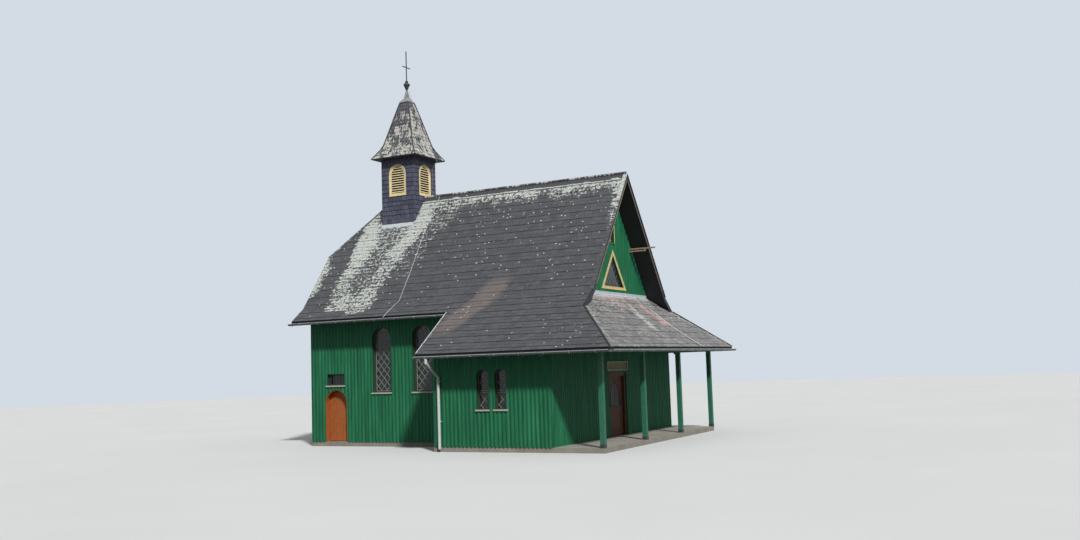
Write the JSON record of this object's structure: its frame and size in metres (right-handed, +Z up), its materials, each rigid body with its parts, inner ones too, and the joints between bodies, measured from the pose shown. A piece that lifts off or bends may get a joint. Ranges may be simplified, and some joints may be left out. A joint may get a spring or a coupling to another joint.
{
  "type": "small chapel",
  "caption": "small timber chapel in green corrugated cladding with a steep slated nave roof, side aisles, a hipped porch on posts and a ridge turret with a flared spire and cross",
  "frame": {"origin": "on the ground under the middle of the nave, between the rear wall and the front wall", "axes": "+X along the ridge towards the front gable and porch, +Y across the nave to the north side, +Z up"},
  "size_m": [13.015, 11.02, 14.34],
  "materials": {
    "green_sheet": "green painted corrugated sheet cladding",
    "green_timber": "green painted sawn timber",
    "slate": "dark grey-violet roof slates with pale lichen",
    "porch_slate": "lighter weathered roof slates",
    "turret_slate": "blue-grey slate hanging",
    "concrete": "plain cast concrete",
    "door_wood": "brown varnished oak",
    "rust_paint": "rust-orange painted boards",
    "yellow_paint": "cream-yellow gloss paint",
    "sign_paint": "faded cream paint, bare",
    "zinc": "dull zinc sheet",
    "dark_metal": "dark grey painted metal",
    "window_iron": "dark painted iron window frames",
    "window_glass": "old leaded glass"
  },
  "bodies": {
    "building": {"floor_slab": "concrete", "porch_floor": "concrete", "south_wall_corner": "green_sheet", "south_wall_over_door": "green_sheet", "south_wall": "green_sheet", "north_wall": "green_sheet", "rear_wall": "green_sheet", "front_wall_south": "green_sheet", "front_wall_north": "green_sheet", "front_wall_over_door": "green_sheet", "front_gable": "green_sheet", "aisle_wall_south": "green_sheet", "aisle_wall_north": "green_sheet", "aisle_end_wall_south": "green_sheet", "aisle_end_wall_north": "green_sheet", "aisle_headers": "green_timber", "main_roof_south": "slate", "main_roof_north": "slate", "half_hip_roof": "slate", "aisle_roof_south": "slate", "aisle_roof_north": "slate", "porch_roof": "porch_slate", "ridge_cap": "slate", "verge_boards": "dark_metal", "flashings": "zinc", "upper_gutters": "dark_metal", "lower_gutters": "dark_metal", "downpipes": "zinc", "porch_post_1": "green_timber", "porch_post_2": "green_timber", "porch_post_3": "green_timber", "porch_post_4": "green_timber", "porch_beams": "green_timber", "front_door_frame": "door_wood", "sign_board": "sign_paint", "side_door_lining": "rust_paint", "tall_windows": "window_iron", "aisle_windows": "window_iron", "barred_window": "window_iron", "gable_window": "yellow_paint", "window_panes": "window_glass", "turret_walls": "turret_slate", "turret_louvres": "yellow_paint", "spire_roof": "slate", "spire_cap": "zinc", "finial": "dark_metal", "gable_bracket": "dark_metal"},
    "front_door_leaf": {"front_door": "door_wood"},
    "side_door_leaf": {"side_door": "rust_paint"}
  },
  "joints": [
    {"name": "front_door_hinge", "type": "hinge", "parent": "building", "child": "front_door_leaf", "pos_m": [4.9517, -0.611, 0.5], "axis": [0, 0, 1], "range_deg": [0, 90]},
    {"name": "side_door_hinge", "type": "hinge", "parent": "building", "child": "side_door_leaf", "pos_m": [-4.4927, -2.7317, 0.5], "axis": [0, 0, 1], "range_deg": [0, 90]}
  ]
}
